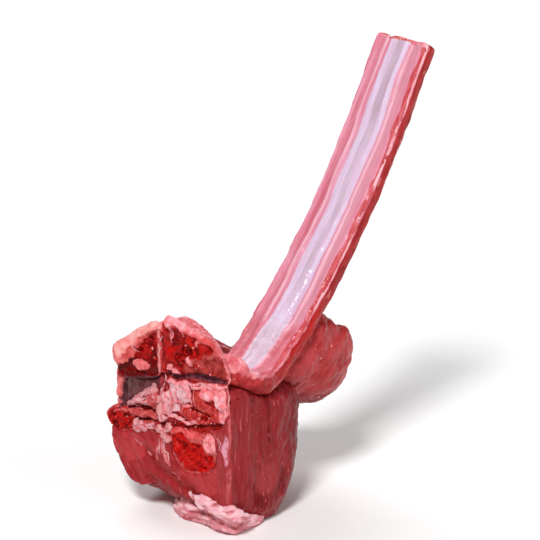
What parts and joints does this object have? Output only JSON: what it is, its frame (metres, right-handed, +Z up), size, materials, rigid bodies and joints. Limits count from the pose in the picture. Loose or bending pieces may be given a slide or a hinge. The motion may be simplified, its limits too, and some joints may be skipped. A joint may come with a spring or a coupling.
{
  "type": "raw lamb chop",
  "caption": "Raw lamb rib chop with sawn backbone, eye muscle, side muscle and a long curved rib, standing on its fat edge.",
  "frame": {"origin": "on the table, under the middle of the chop's bounding box", "axes": "+Z up; +X from the sawn face of the backbone towards the rib's tip; +Y along the backbone, away from the front cut"},
  "size_m": [0.087, 0.0552, 0.1312],
  "materials": {
    "cut_bone": "sawn spongy bone, dark red with pale rims, moist",
    "cartilage": "pale, smooth and moist",
    "rib_skin": "pale lilac bone under thin wet skin",
    "side_meat": "raw red meat under pink skin, moist",
    "sawn_meat": "raw red meat, sawn, with pale strands",
    "eye_meat": "raw dark red meat with faint upright fibres, moist",
    "fat": "pale pink fat, soft and slightly greasy"
  },
  "bodies": {
    "root": {"near_vertebra": "cut_bone", "far_vertebra": "cut_bone", "disc": "cartilage", "rib_bone": "rib_skin", "rib_meat": "side_meat", "backbone_muscle": "sawn_meat", "eye_muscle": "eye_meat", "fat_fold": "fat", "fat_cap": "fat"}
  },
  "joints": []
}
